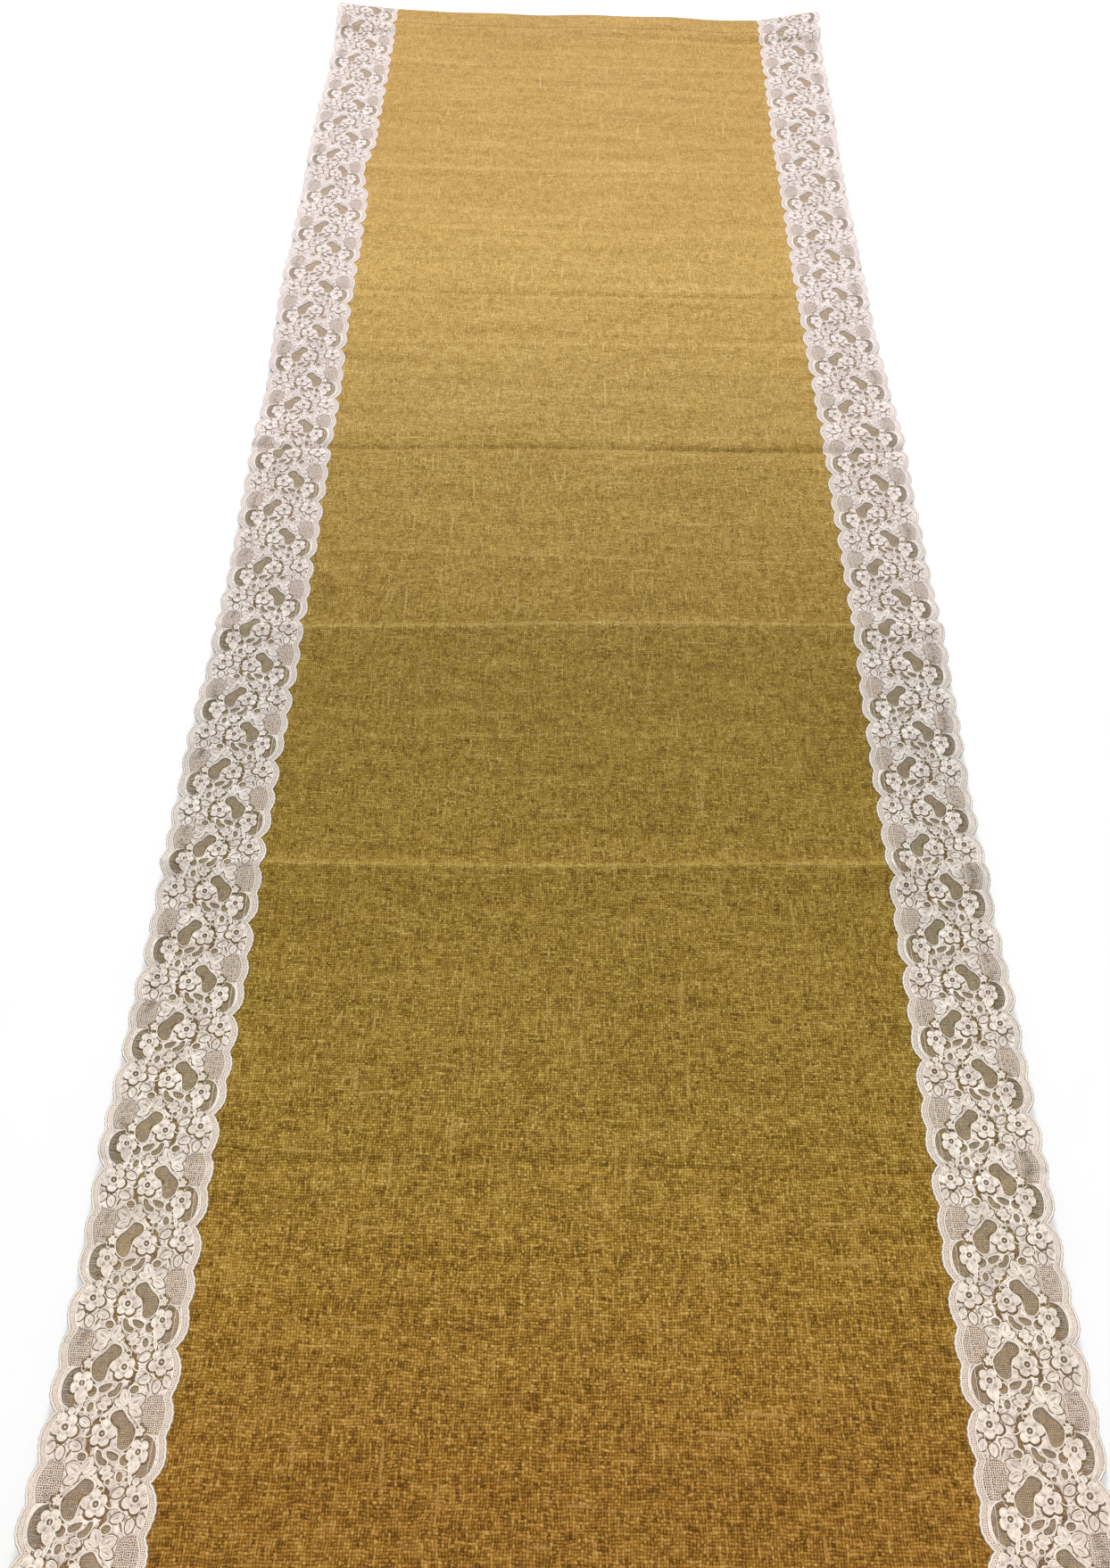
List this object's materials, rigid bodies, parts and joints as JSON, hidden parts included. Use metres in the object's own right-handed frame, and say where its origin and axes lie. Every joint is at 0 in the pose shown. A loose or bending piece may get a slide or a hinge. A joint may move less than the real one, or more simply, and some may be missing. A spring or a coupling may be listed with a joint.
{
  "type": "table runner",
  "caption": "Flat burlap table runner with hemmed ends and scalloped flower lace sewn along both long sides.",
  "frame": {"origin": "on the underside, at the middle of the runner's length and width", "axes": "+Y along the length towards the far end, +X across the width, +Z out of the face side"},
  "size_m": [0.305, 1.829, 0.0037],
  "materials": {
    "burlap": "coarse plain weave with slubs, golden khaki, matt",
    "lace": "knitted flower lace, pinkish cream white, matt",
    "lace_thread": "twisted sewing thread, off-white",
    "hem_thread": "twisted sewing thread, matched to the burlap",
    "overlock_thread": "looped overlock thread, pale natural"
  },
  "bodies": {
    "root": {"burlap_panel": "burlap", "left_lace_trim": "lace", "right_lace_trim": "lace", "left_inner_needle_thread": "lace_thread", "left_inner_bobbin_thread": "lace_thread", "left_outer_needle_thread": "lace_thread", "left_outer_bobbin_thread": "lace_thread", "right_inner_needle_thread": "lace_thread", "right_inner_bobbin_thread": "lace_thread", "right_outer_needle_thread": "lace_thread", "right_outer_bobbin_thread": "lace_thread", "far_hem_needle_thread": "hem_thread", "far_hem_bobbin_thread": "hem_thread", "near_hem_needle_thread": "hem_thread", "near_hem_bobbin_thread": "hem_thread", "left_edge_overlock": "overlock_thread", "right_edge_overlock": "overlock_thread"}
  },
  "joints": []
}
